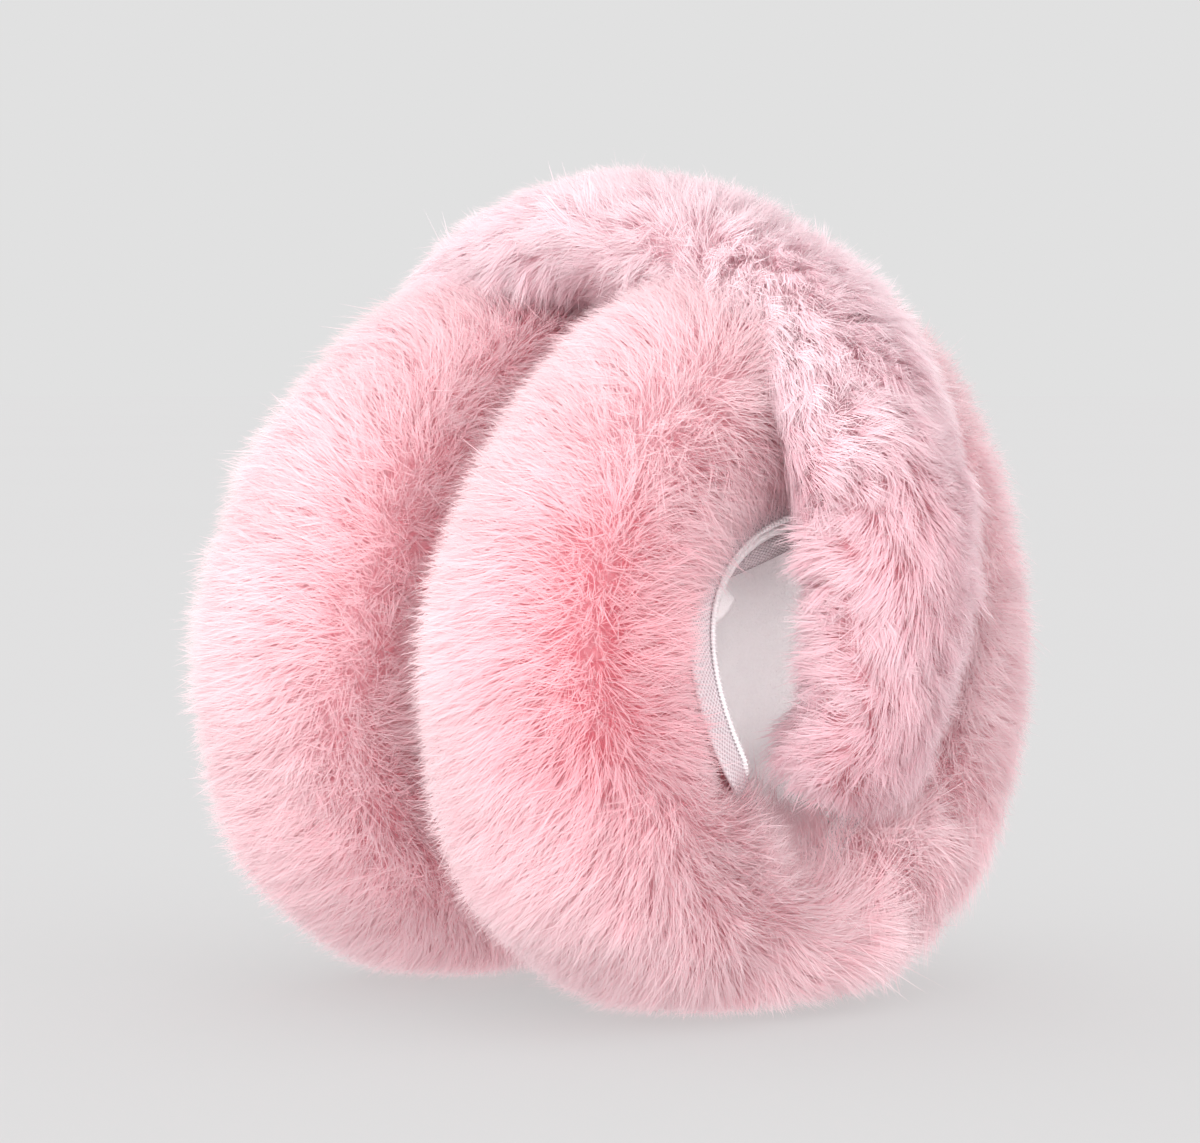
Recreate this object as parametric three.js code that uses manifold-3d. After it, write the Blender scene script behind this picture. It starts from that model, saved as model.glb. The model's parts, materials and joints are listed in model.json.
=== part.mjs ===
// Fur earmuffs, folded for storage.
// Two round fur ear cups stand one in front of the other, the ear face of each looking along +X.
// The fur headband rises from the top of the left cup, arches over both cups and rolls down in
// front of the right cup's ear face, where it joins the cup's lower lobe.
// Millimetres, +Z up. The origin is on the ground, below the middle of the object's box.
import * as THREE from 'three';
import { mergeVertices } from 'three/addons/utils/BufferGeometryUtils.js';
import Module from 'manifold-3d';

const wasm = await Module();
wasm.setup();

// Ear cups: the outer form of the combed fur.
const CUP_HEIGHT = 135;
const CUP_WIDTH = 131;
const CUP_SPACING = 60;
const BACK_RISE = 27;
const BACK_ROUNDNESS = 2.4;
const LOBE_RADIUS = 46;
const LOBE_RISE = 29;
const LOBE_ROUNDNESS = 2.2;
const BASE_FLAT_DEPTH = 4;
const TOP_NARROWING = 0.12;
const TOP_LEAN = 7;
const CUP_CENTRE_Z = CUP_HEIGHT / 2 - BASE_FLAT_DEPTH;

// Ear opening: an egg-shaped mouth that narrows towards the headband's end of the cup.
const MOUTH_RADIUS = 28.5;
const MOUTH_LEVEL = 19;
const MOUTH_WIDTH_SCALE = 0.81;
const MOUTH_TAPER = 0.45;
const MOUTH_SHIFT = -6.5;
const POCKET_DEPTH = 24;
const POCKET_ROUNDNESS = 3.2;
const SEAT_WIDTH = 7.5;
const SEAT_RISE = 2.5;

// Cloth and trim round the mouth.
const LINING_THICKNESS = 2;
const KNIT_THICKNESS = 1;
const BINDING_RADIUS = 1.1;
const TAPE = { from: -12, to: 48, depth: 2.5, thickness: 1 };
const FLAP = { from: 40, to: 64, depth: 4, thickness: 1, tip: { angle: 40, share: 0.66 } };

// Headband: a padded fur roll with an oval section.
const BAND_WIDTH = 39;
const BAND_THICKNESS = 25;
const BAND_TIP_SCALE = 0.62;
const BAND_TAPER_TOP = 92;
const BAND_TAPER_BOTTOM = 26;

// Clearance between pieces that meet, and the fineness of the round forms.
const GAP = 0.3;
const EDGE_GAP = 3 * GAP;
const TRIM_CLEARANCE = 0.4;
const WELD_DISTANCE = 0.001;
const ROUND_SEGMENTS = 40;
const BACK_STEPS = 9;
const LOBE_STEPS = 7;
const LIP_STEPS = 3;
const POCKET_STEPS = 7;
const BINDING_SIDES = 6;
const CORNER_STEPS = 6;
const BAND_STEPS = 32;
const BAND_SIDES = 14;

// Stations of the headband's centre line: distance along the stack and height.
const BAND_ROUTE = [
  { along: -29, height: 98 },
  { along: -35, height: 111 },
  { along: -30, height: 123 },
  { along: -13, height: 131.5 },
  { along: 12, height: 134 },
  { along: 36, height: 127 },
  { along: 56, height: 111 },
  { along: 67, height: 90 },
  { along: 68.5, height: 69 },
  { along: 63, height: 51 },
  { along: 53, height: 40 },
];

const CUP_FUR = { color: 0xf6c9d2, roughness: 0.95, metalness: 0 };
const BAND_FUR = { color: 0xf8d3da, roughness: 0.95, metalness: 0 };
const FLEECE = { color: 0xe2dcde, roughness: 0.9, metalness: 0 };
const STITCHED_EDGE = { color: 0xf3eef0, roughness: 0.7, metalness: 0 };
const KNIT = { color: 0xe9cfd6, roughness: 0.85, metalness: 0 };
const WOVEN_TAPE = { color: 0xcdc3c7, roughness: 0.6, metalness: 0 };

/** A manifold solid from a closed geometry. */
function toSolid(geometry) {
  const plain = geometry.clone();
  plain.deleteAttribute('normal');
  plain.deleteAttribute('uv');
  const welded = mergeVertices(plain, WELD_DISTANCE);
  const corners = welded.index.array;
  const kept = [];
  for (let i = 0; i < corners.length; i += 3) {
    const [a, b, c] = [corners[i], corners[i + 1], corners[i + 2]];
    if (a !== b && b !== c && c !== a) kept.push(a, b, c);
  }
  return new wasm.Manifold(new wasm.Mesh({
    numProp: 3,
    vertProperties: new Float32Array(welded.attributes.position.array),
    triVerts: new Uint32Array(kept),
  }));
}

/** A three.js geometry from a manifold solid. */
function toGeometry(solid) {
  const mesh = solid.getMesh();
  const geometry = new THREE.BufferGeometry();
  geometry.setAttribute('position', new THREE.BufferAttribute(mesh.vertProperties, 3));
  geometry.setIndex(new THREE.BufferAttribute(mesh.triVerts, 1));
  geometry.computeVertexNormals();
  return geometry;
}

/** Points on a superellipse arc, from one angle to another, as radius and level pairs. */
function superArc(radius, rise, roundness, from, to, steps) {
  const points = [];
  for (let i = 0; i <= steps; i += 1) {
    const angle = from + ((to - from) * i) / steps;
    const across = Math.max(0, Math.cos(angle)) ** (2 / roundness);
    const along = Math.abs(Math.sin(angle)) ** (2 / roundness) * Math.sign(Math.sin(angle));
    points.push(new THREE.Vector2(radius * across, rise * along));
  }
  return points;
}

/** The pocket's wall from its mouth to the middle of its floor, drawn in by an inset. */
function pocketProfile(inset) {
  const radius = MOUTH_RADIUS - inset;
  const depth = POCKET_DEPTH - inset;
  const wall = superArc(radius, depth, POCKET_ROUNDNESS, 0, Math.PI / 2, POCKET_STEPS);
  return wall.map((point) => new THREE.Vector2(point.x, MOUTH_LEVEL - point.y));
}

/** Level of the flat seat that rises from the mouth to the fur lip. */
function seatLevel(radius) {
  return MOUTH_LEVEL + (SEAT_RISE * (radius - MOUTH_RADIUS)) / SEAT_WIDTH;
}

/** The cup's profile from the middle of its back, over the lobe, to the pocket's floor. */
function cupProfile() {
  const radius = CUP_HEIGHT / 2;
  const seatEnd = MOUTH_RADIUS + SEAT_WIDTH;
  const lipBase = seatLevel(seatEnd);
  const top = Math.PI / 2;
  const back = superArc(radius, BACK_RISE, BACK_ROUNDNESS, -top, 0, BACK_STEPS);
  const lobe = superArc(radius - LOBE_RADIUS, LOBE_RISE, LOBE_ROUNDNESS, 0, top, LOBE_STEPS);
  const lip = superArc(LOBE_RADIUS - seatEnd, LOBE_RISE - lipBase, 2, top, 0, LIP_STEPS);
  return [
    ...back,
    ...lobe.slice(1).map((point) => new THREE.Vector2(LOBE_RADIUS + point.x, point.y)),
    ...lip.slice(1).map((point) => new THREE.Vector2(LOBE_RADIUS - point.x, lipBase + point.y)),
    ...pocketProfile(0),
  ];
}

/** Closed profile of the fleece lining, which follows the pocket's wall. */
function liningProfile() {
  return [...pocketProfile(GAP).reverse(), ...pocketProfile(GAP + LINING_THICKNESS)];
}

/** Closed profile of the bare knitted backing that rings the mouth. */
function knitProfile() {
  const inner = MOUTH_RADIUS + GAP;
  const outer = MOUTH_RADIUS + SEAT_WIDTH - GAP;
  const above = (radius, height) => new THREE.Vector2(radius, seatLevel(radius) + height);
  return [
    above(inner, GAP),
    above(outer - KNIT_THICKNESS, GAP),
    above(outer - KNIT_THICKNESS, GAP + KNIT_THICKNESS),
    above(inner, GAP + KNIT_THICKNESS),
    above(inner, GAP),
  ];
}

/** Closed round profile of the stitched edge that stands on the knitted backing. */
function bindingProfile() {
  const middle = MOUTH_RADIUS + GAP + BINDING_RADIUS;
  const level = seatLevel(middle) + KNIT_THICKNESS + EDGE_GAP + BINDING_RADIUS;
  const points = [];
  for (let i = 0; i <= BINDING_SIDES; i += 1) {
    const angle = (-2 * Math.PI * i) / BINDING_SIDES;
    points.push(new THREE.Vector2(
      middle - BINDING_RADIUS * Math.cos(angle),
      level + BINDING_RADIUS * Math.sin(angle),
    ));
  }
  return points;
}

/**
 * Gives a round form about the X axis the cup's outline and its egg-shaped mouth. The cup is
 * narrower towards its top, where it leans forward.
 * The side is 1 for the right cup and -1 for the left one, which is the same cup turned over.
 */
function mould(geometry, side) {
  const position = geometry.attributes.position;
  const mouthEdge = MOUTH_RADIUS + SEAT_WIDTH;
  const point = new THREE.Vector3();
  for (let i = 0; i < position.count; i += 1) {
    point.fromBufferAttribute(position, i);
    const radius = Math.hypot(point.y, point.z);
    const up = radius > 0 ? point.z / radius : 0;
    const inner = Math.min(1, radius / MOUTH_RADIUS);
    const outer = THREE.MathUtils.smoothstep(radius, mouthEdge, CUP_HEIGHT / 2);
    const earSide = THREE.MathUtils.smoothstep(point.x, -BACK_RISE, MOUTH_LEVEL - POCKET_DEPTH);
    const egg = MOUTH_WIDTH_SCALE * (1 + MOUTH_TAPER * up * inner);
    const mouthScale = THREE.MathUtils.lerp(CUP_WIDTH / CUP_HEIGHT, egg, earSide);
    const across = THREE.MathUtils.lerp(mouthScale, CUP_WIDTH / CUP_HEIGHT, outer);
    const shift = MOUTH_SHIFT * earSide * (1 - outer);
    const z = (point.z + shift) * side;
    const rise = z / (CUP_HEIGHT / 2);
    const narrowing = 1 - TOP_NARROWING * rise;
    const lean = TOP_LEAN * Math.max(0, rise) ** 2;
    position.setXYZ(i, point.x + lean, point.y * across * narrowing * side, z);
  }
  return geometry;
}

/** A round form about the X axis from a profile of radius and level. */
function round(profile, side) {
  const geometry = new THREE.LatheGeometry(profile, ROUND_SEGMENTS);
  geometry.rotateZ(-Math.PI / 2);
  return toSolid(mould(geometry, side));
}

/**
 * A thin flat piece of cloth in a corner of the mouth. It follows the mouth's edge between two
 * angles, counted from the mouth's top, and closes with a straight edge or over an inner tip.
 */
function cornerPiece({ from, to, depth, thickness, tip }) {
  const reach = MOUTH_RADIUS - LINING_THICKNESS - EDGE_GAP;
  const corners = [];
  for (let i = 0; i <= CORNER_STEPS; i += 1) {
    corners.push({ angle: from + ((to - from) * i) / CORNER_STEPS, share: 1 });
  }
  if (tip) corners.push(tip);
  const outline = corners.map(({ angle, share }) => {
    const turn = THREE.MathUtils.degToRad(angle);
    return new THREE.Vector2(-reach * share * Math.cos(turn), -reach * share * Math.sin(turn));
  });
  const shape = new THREE.Shape(outline);
  const geometry = new THREE.ExtrudeGeometry(shape, { depth: thickness, bevelEnabled: false });
  geometry.rotateY(Math.PI / 2);
  geometry.translate(MOUTH_LEVEL - depth, 0, 0);
  return toSolid(mould(geometry, 1));
}

/** The cup's fur body, flattened where it stands. */
function cupBody(side) {
  const body = round(cupProfile(), side);
  const ground = new THREE.BoxGeometry(2 * CUP_HEIGHT, 2 * CUP_HEIGHT, CUP_HEIGHT);
  ground.translate(0, 0, -CUP_CENTRE_Z - CUP_HEIGHT / 2);
  return body.subtract(toSolid(ground));
}

/** A solid swelled by the clearance, for trimming what presses against it. */
function swelled(solid) {
  const geometry = toGeometry(solid);
  const { position, normal } = geometry.attributes;
  for (let i = 0; i < position.count; i += 1) {
    position.setXYZ(
      i,
      position.getX(i) + TRIM_CLEARANCE * normal.getX(i),
      position.getY(i) + TRIM_CLEARANCE * normal.getY(i),
      position.getZ(i) + TRIM_CLEARANCE * normal.getZ(i),
    );
  }
  return toSolid(geometry);
}

/** The headband's fur roll, tapered towards the lower end and trimmed to both cups. */
function bandBody() {
  const stations = BAND_ROUTE.map((row) => new THREE.Vector3(row.along, 0, row.height));
  const route = new THREE.CatmullRomCurve3(stations, false, 'centripetal');
  const section = new THREE.Shape();
  for (let i = 0; i < BAND_SIDES; i += 1) {
    const angle = (2 * Math.PI * i) / BAND_SIDES;
    const x = (BAND_WIDTH / 2) * Math.cos(angle);
    const y = (BAND_THICKNESS / 2) * Math.sin(angle);
    if (i === 0) section.moveTo(x, y);
    else section.lineTo(x, y);
  }
  section.closePath();
  const geometry = new THREE.ExtrudeGeometry(section, { steps: BAND_STEPS, extrudePath: route });
  const position = geometry.attributes.position;
  for (let i = 0; i < position.count; i += 1) {
    const height = position.getZ(i);
    const open = THREE.MathUtils.smoothstep(height, BAND_TAPER_BOTTOM, BAND_TAPER_TOP);
    const tip = THREE.MathUtils.lerp(BAND_TIP_SCALE, 1, open);
    if (position.getX(i) > 0) position.setY(i, position.getY(i) * tip);
  }
  const pressed = [
    { solid: cupBody(-1), side: -1 },
    { solid: cupBody(1), side: 1 },
    { solid: round(knitProfile(), 1), side: 1 },
    { solid: round(bindingProfile(), 1), side: 1 },
  ];
  let band = toSolid(geometry);
  for (const { solid, side } of pressed) {
    const place = [(side * CUP_SPACING) / 2, 0, CUP_CENTRE_Z];
    band = band.subtract(swelled(solid).translate(place));
  }
  return band;
}

/** A named mesh with its own material. */
function piece(name, solid, look, x, z) {
  const mesh = new THREE.Mesh(toGeometry(solid), new THREE.MeshStandardMaterial(look));
  mesh.name = name;
  mesh.position.set(x, 0, z);
  return mesh;
}

const earmuffs = new THREE.Group();
const cups = [
  { name: 'left', side: -1 },
  { name: 'right', side: 1 },
];
for (const { name, side } of cups) {
  const x = (side * CUP_SPACING) / 2;
  const z = CUP_CENTRE_Z;
  earmuffs.add(piece(`ear_cup_${name}`, cupBody(side), CUP_FUR, x, z));
  earmuffs.add(piece(`ear_lining_${name}`, round(liningProfile(), side), FLEECE, x, z));
  earmuffs.add(piece(`knit_edge_${name}`, round(knitProfile(), side), KNIT, x, z));
  earmuffs.add(piece(`stitched_edge_${name}`, round(bindingProfile(), side), STITCHED_EDGE, x, z));
}
earmuffs.add(piece('headband', bandBody(), BAND_FUR, 0, 0));
earmuffs.add(piece('lining_tape', cornerPiece(TAPE), WOVEN_TAPE, CUP_SPACING / 2, CUP_CENTRE_Z));
earmuffs.add(piece('lining_flap', cornerPiece(FLAP), FLEECE, CUP_SPACING / 2, CUP_CENTRE_Z));

const box = new THREE.Box3().setFromObject(earmuffs);
const middle = box.getCenter(new THREE.Vector3());
earmuffs.position.set(-middle.x, -middle.y, 0);

export default earmuffs;
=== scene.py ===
"""Looks of the folded fur earmuffs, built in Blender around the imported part.

Every length is in metres in the part's own frame: +X runs along the stack of ear cups, the way
both ear faces look, and +Z is up. The fur is combed mesh strands on an underlay that lies one pile
height inside each furred piece of the part.
"""

import json
import logging
import math
from dataclasses import dataclass, field
from enum import Enum

import bmesh
import bpy
import numpy as np
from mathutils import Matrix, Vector, bvhtree, kdtree, noise

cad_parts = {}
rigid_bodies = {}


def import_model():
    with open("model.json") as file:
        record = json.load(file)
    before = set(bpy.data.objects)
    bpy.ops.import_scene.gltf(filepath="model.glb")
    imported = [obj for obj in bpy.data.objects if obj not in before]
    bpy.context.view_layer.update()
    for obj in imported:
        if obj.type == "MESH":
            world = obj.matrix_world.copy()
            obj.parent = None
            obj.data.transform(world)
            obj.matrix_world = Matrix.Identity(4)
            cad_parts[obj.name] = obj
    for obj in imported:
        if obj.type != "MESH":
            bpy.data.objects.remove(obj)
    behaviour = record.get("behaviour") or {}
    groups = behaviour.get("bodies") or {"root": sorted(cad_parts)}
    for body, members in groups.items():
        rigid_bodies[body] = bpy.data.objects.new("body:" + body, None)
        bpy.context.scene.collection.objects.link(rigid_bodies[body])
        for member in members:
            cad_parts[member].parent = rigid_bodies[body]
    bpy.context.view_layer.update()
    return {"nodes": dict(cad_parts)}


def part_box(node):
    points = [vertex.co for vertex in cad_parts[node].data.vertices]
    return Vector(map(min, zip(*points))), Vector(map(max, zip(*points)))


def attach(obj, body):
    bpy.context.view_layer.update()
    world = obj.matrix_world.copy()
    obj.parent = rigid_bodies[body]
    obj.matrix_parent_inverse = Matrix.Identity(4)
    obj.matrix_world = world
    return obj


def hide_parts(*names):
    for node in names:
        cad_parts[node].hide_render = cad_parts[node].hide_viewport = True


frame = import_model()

LOG = logging.getLogger("earmuffs")
MM = 0.001
BODY = "root"
FUR_MAP = "OFBake"
THREAD_MAP = "threads"

Colour = tuple[float, float, float]


class Side(Enum):
    """Which ear a cup is for. The left cup is the right one turned over about the stack's axis."""

    LEFT = "left"
    RIGHT = "right"

    @property
    def turn(self) -> int:
        """1 for the cup that stands as drawn, -1 for the one turned over."""
        return 1 if self is Side.RIGHT else -1


class Face(Enum):
    """The part of a cup that a coat of fur covers."""

    EAR = "ear"
    BACK = "back"


# ---------------------------------------------------------------- small geometry helpers


def unit(vectors: np.ndarray) -> np.ndarray:
    """Scales each row of an array to length one.

    Args:
        vectors: rows of three numbers.

    Returns:
        The unit vectors, zero rows left near zero.
    """
    return vectors / np.maximum(np.linalg.norm(vectors, axis=-1, keepdims=True), 1e-9)


def smooth_ramp(value: np.ndarray, low: float, high: float) -> np.ndarray:
    """A smooth step from 0 at low to 1 at high.

    Args:
        value: numbers to map.
        low: where the step starts.
        high: where it ends.

    Returns:
        The eased share for each number.
    """
    share = np.clip((value - low) / (high - low), 0.0, 1.0)
    return share * share * (3.0 - 2.0 * share)


def drift(points: np.ndarray, wavelength: float, seed: float) -> np.ndarray:
    """Slowly changing vectors in space, for locks that lie each their own way.

    Args:
        points: places, one per row.
        wavelength: distance over which the drift changes.
        seed: shifts the pattern.

    Returns:
        One vector of about unit size for each place.
    """
    phase = points * (2.0 * math.pi / wavelength)
    x, y, z = phase[:, 0], phase[:, 1], phase[:, 2]
    return np.stack(
        [
            np.sin(y + 1.7 * np.sin(0.6 * z + seed)) * np.cos(0.8 * z + 2.0 * seed),
            np.sin(z + 1.3 * np.sin(0.7 * x + 3.0 * seed)) * np.cos(0.9 * x + seed),
            np.sin(x + 1.5 * np.sin(0.8 * y + 5.0 * seed)) * np.cos(0.7 * y + 4.0 * seed),
        ],
        axis=1,
    )


def link(name: str, mesh: bpy.types.Mesh) -> bpy.types.Object:
    """Puts a mesh in the scene as an object.

    Args:
        name: the piece's name.
        mesh: its mesh.

    Returns:
        The new object.
    """
    piece = bpy.data.objects.new(name, mesh)
    bpy.context.scene.collection.objects.link(piece)
    return piece


def grid_mesh(
    name: str, rows: np.ndarray, wrap_rows: bool = False, wrap_across: bool = False
) -> bpy.types.Object:
    """A smooth quad sheet from a grid of points.

    Args:
        name: the piece's name.
        rows: points in an array of rows, columns and three coordinates.
        wrap_rows: joins the last row to the first.
        wrap_across: joins the last column to the first.

    Returns:
        The new object.
    """
    count, width = rows.shape[:2]
    faces = []
    for i in range(count if wrap_rows else count - 1):
        for j in range(width if wrap_across else width - 1):
            k, l = (i + 1) % count, (j + 1) % width
            faces.append((i * width + j, i * width + l, k * width + l, k * width + j))
    mesh = bpy.data.meshes.new(name)
    mesh.from_pydata(rows.reshape(-1, 3).tolist(), [], faces)
    mesh.polygons.foreach_set("use_smooth", np.ones(len(faces), bool))
    return link(name, mesh)


def map_threads(piece: bpy.types.Object, around: int, across: int, wrapped: bool) -> None:
    """Gives a grid piece a map that runs from 0 to 1 along its columns and its rows.

    Args:
        piece: a piece made by grid_mesh.
        around: how many columns it has.
        across: how many rows it has.
        wrapped: whether its last column joins its first.
    """
    layer = piece.data.uv_layers.new(name=THREAD_MAP)
    columns = around if wrapped else around - 1
    for polygon in piece.data.polygons:
        corners = [divmod(piece.data.loops[k].vertex_index, around) for k in polygon.loop_indices]
        ends = {column for _, column in corners}
        for k, (row, column) in zip(polygon.loop_indices, corners):
            seam = wrapped and column == 0 and around - 1 in ends
            layer.data[k].uv = ((column + around * seam) / columns, row / (across - 1))


def settle(piece: bpy.types.Object) -> bpy.types.Object:
    """Applies a piece's modifiers to its mesh.

    Args:
        piece: an object with modifiers.

    Returns:
        The same object with none.
    """
    graph = bpy.context.evaluated_depsgraph_get()
    mesh = bpy.data.meshes.new_from_object(piece.evaluated_get(graph))
    piece.modifiers.clear()
    piece.data = mesh
    return piece


# ---------------------------------------------------------------- node groups and finishes


def socketed_group(name: str, inputs: dict[str, object], outputs: dict[str, str]):
    """A new shader node group with named sockets.

    Args:
        name: the group's name.
        inputs: socket names and default values, a number or a colour.
        outputs: socket names and socket types.

    Returns:
        The node tree, its input node and its output node.
    """
    tree = bpy.data.node_groups.new(name, "ShaderNodeTree")
    for label, value in inputs.items():
        kind = "NodeSocketColor" if isinstance(value, tuple) else "NodeSocketFloat"
        socket = tree.interface.new_socket(label, in_out="INPUT", socket_type=kind)
        socket.default_value = (*value, 1.0) if isinstance(value, tuple) else value
    for label, kind in outputs.items():
        tree.interface.new_socket(label, in_out="OUTPUT", socket_type=kind)
    return tree, tree.nodes.new("NodeGroupInput"), tree.nodes.new("NodeGroupOutput")


def add_node(tree: bpy.types.NodeTree, kind: str, values: dict | None = None, **settings):
    """Adds a node and sets it up.

    Args:
        tree: the tree it goes in.
        kind: the node's type.
        values: input names or numbers and their default values.
        settings: the node's own properties.

    Returns:
        The node.
    """
    node = tree.nodes.new(kind)
    for key, value in settings.items():
        setattr(node, key, value)
    for key, value in (values or {}).items():
        node.inputs[key].default_value = value
    return node


def mix_colours(tree: bpy.types.NodeTree, share, first, second):
    """Mixes two colours by a share, each of them a socket.

    Args:
        tree: the tree to build in.
        share: socket of the second colour's share.
        first: socket of the first colour.
        second: socket of the second colour.

    Returns:
        The mixed colour's socket.
    """
    mix = add_node(tree, "ShaderNodeMix", data_type="RGBA")
    tree.links.new(share, mix.inputs[0])
    tree.links.new(first, mix.inputs[6])
    tree.links.new(second, mix.inputs[7])
    return mix.outputs[2]


class Effects:
    """The node groups that the finishes share, each built once."""

    _built: dict[str, bpy.types.NodeTree] = {}

    @classmethod
    def pile_colour(cls) -> bpy.types.NodeTree:
        """Colour along a strand of fur, from its root to its tip.

        Returns:
            A group with Root, Middle and Tip colours that puts out the strand's colour.
        """
        name = "pile colour"
        if name in cls._built:
            return cls._built[name]
        inputs = {"Root": (0.7, 0.3, 0.36), "Middle": (0.88, 0.52, 0.6), "Tip": (1.0, 0.85, 0.88)}
        tree, entry, leave = socketed_group(name, inputs, {"Colour": "NodeSocketColor"})
        place = add_node(tree, "ShaderNodeUVMap", uv_map=FUR_MAP)
        split = add_node(tree, "ShaderNodeSeparateXYZ")
        tree.links.new(place.outputs[0], split.inputs[0])
        # the map's first coordinate, the paleness with its painted light and shade, moves the
        # colour towards the tip or the root
        shift = add_node(tree, "ShaderNodeMath", {1: 0.55, 2: -0.275}, operation="MULTIPLY_ADD")
        tree.links.new(split.outputs["X"], shift.inputs[0])
        along = add_node(tree, "ShaderNodeMath", operation="ADD")
        tree.links.new(split.outputs["Y"], along.inputs[0])
        tree.links.new(shift.outputs[0], along.inputs[1])
        low = add_node(
            tree, "ShaderNodeMapRange", {1: 0.0, 2: 0.5}, interpolation_type="SMOOTHSTEP"
        )
        high = add_node(
            tree, "ShaderNodeMapRange", {1: 0.45, 2: 1.05}, interpolation_type="SMOOTHSTEP"
        )
        tree.links.new(along.outputs[0], low.inputs[0])
        tree.links.new(along.outputs[0], high.inputs[0])
        deep = mix_colours(tree, low.outputs[0], entry.outputs["Root"], entry.outputs["Middle"])
        whole = mix_colours(tree, high.outputs[0], deep, entry.outputs["Tip"])
        tree.links.new(whole, leave.inputs["Colour"])
        cls._built[name] = tree
        return tree

    @classmethod
    def soft_mottle(cls) -> bpy.types.NodeTree:
        """Uneven dye and nap in a cloth, from two sizes of noise.

        Returns:
            A group with Scale, Light and Dark that puts out Colour and Height.
        """
        name = "soft mottle"
        if name in cls._built:
            return cls._built[name]
        inputs = {"Scale": 300.0, "Light": (0.85, 0.82, 0.83), "Dark": (0.7, 0.66, 0.68)}
        outputs = {"Colour": "NodeSocketColor", "Height": "NodeSocketFloat"}
        tree, entry, leave = socketed_group(name, inputs, outputs)
        place = add_node(tree, "ShaderNodeTexCoord")
        coarse = add_node(tree, "ShaderNodeTexNoise", {"Detail": 3.0, "Roughness": 0.6})
        fine = add_node(tree, "ShaderNodeTexNoise", {"Detail": 2.0, "Roughness": 0.7})
        finer = add_node(tree, "ShaderNodeMath", {1: 7.0}, operation="MULTIPLY")
        tree.links.new(entry.outputs["Scale"], coarse.inputs["Scale"])
        tree.links.new(entry.outputs["Scale"], finer.inputs[0])
        tree.links.new(finer.outputs[0], fine.inputs["Scale"])
        for texture in (coarse, fine):
            tree.links.new(place.outputs["Object"], texture.inputs["Vector"])
        both = add_node(tree, "ShaderNodeMath", {2: 0.0}, operation="MULTIPLY_ADD")
        tree.links.new(fine.outputs[0], both.inputs[0])
        both.inputs[1].default_value = 0.6
        tree.links.new(coarse.outputs[0], both.inputs[2])
        share = add_node(tree, "ShaderNodeMapRange", {1: 0.55, 2: 1.05})
        tree.links.new(both.outputs[0], share.inputs[0])
        tone = mix_colours(tree, share.outputs[0], entry.outputs["Dark"], entry.outputs["Light"])
        tree.links.new(tone, leave.inputs["Colour"])
        tree.links.new(both.outputs[0], leave.inputs["Height"])
        cls._built[name] = tree
        return tree

    @classmethod
    def thread_ribs(cls) -> bpy.types.NodeTree:
        """Crossing ribs of thread, as in a woven tape or a knitted backing.

        Returns:
            A group with Along and Across counts that puts out Height and Mask.
        """
        name = "thread ribs"
        if name in cls._built:
            return cls._built[name]
        inputs = {"Along": 40.0, "Across": 6.0}
        outputs = {"Height": "NodeSocketFloat", "Mask": "NodeSocketFloat"}
        tree, entry, leave = socketed_group(name, inputs, outputs)
        place = add_node(tree, "ShaderNodeUVMap", uv_map=THREAD_MAP)
        split = add_node(tree, "ShaderNodeSeparateXYZ")
        tree.links.new(place.outputs[0], split.inputs[0])
        waves = []
        for label, axis in (("Along", "X"), ("Across", "Y")):
            turn = add_node(tree, "ShaderNodeMath", operation="MULTIPLY")
            wave = add_node(tree, "ShaderNodeMath", operation="SINE")
            tree.links.new(split.outputs[axis], turn.inputs[0])
            tree.links.new(entry.outputs[label], turn.inputs[1])
            tree.links.new(turn.outputs[0], wave.inputs[0])
            waves.append(wave.outputs[0])
        both = add_node(tree, "ShaderNodeMath", operation="MULTIPLY")
        tree.links.new(waves[0], both.inputs[0])
        tree.links.new(waves[1], both.inputs[1])
        mask = add_node(tree, "ShaderNodeMapRange", {1: -0.2, 2: 0.9})
        tree.links.new(both.outputs[0], mask.inputs[0])
        tree.links.new(both.outputs[0], leave.inputs["Height"])
        tree.links.new(mask.outputs[0], leave.inputs["Mask"])
        cls._built[name] = tree
        return tree


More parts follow.
